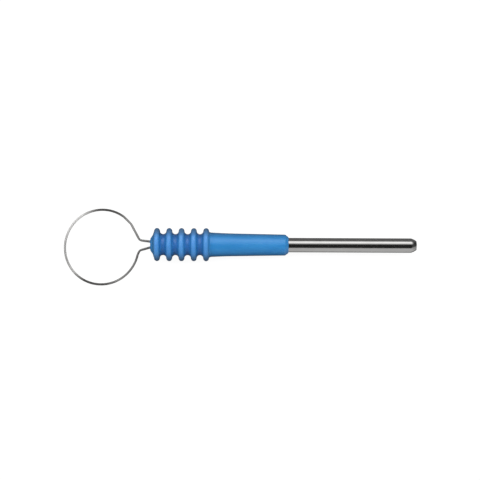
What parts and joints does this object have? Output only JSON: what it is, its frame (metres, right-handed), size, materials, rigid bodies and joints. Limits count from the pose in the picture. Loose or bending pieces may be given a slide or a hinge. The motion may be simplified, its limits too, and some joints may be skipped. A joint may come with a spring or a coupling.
{
  "type": "electrosurgical loop electrode",
  "caption": "Straight metal contact pin with a ribbed insulating plastic hub and a round wire loop at its tip, for plugging into an electrosurgical pencil.",
  "frame": {"origin": "centre of the flat rear end face of the contact shaft", "axes": "+X runs along the shaft out of its rear end, away from the loop; the wire loop lies in the XY plane, and +Z is the normal to that plane"},
  "size_m": [0.0585, 0.0127, 0.0054],
  "materials": {
    "loop_wire": "satin",
    "ferrule_steel": "satin",
    "shaft_steel": "polished",
    "hub_plastic": "satin"
  },
  "bodies": {
    "root": {"wire_loop": "loop_wire", "crimp_ferrule": "ferrule_steel", "contact_shaft": "shaft_steel", "insulating_hub": "hub_plastic"}
  },
  "joints": []
}
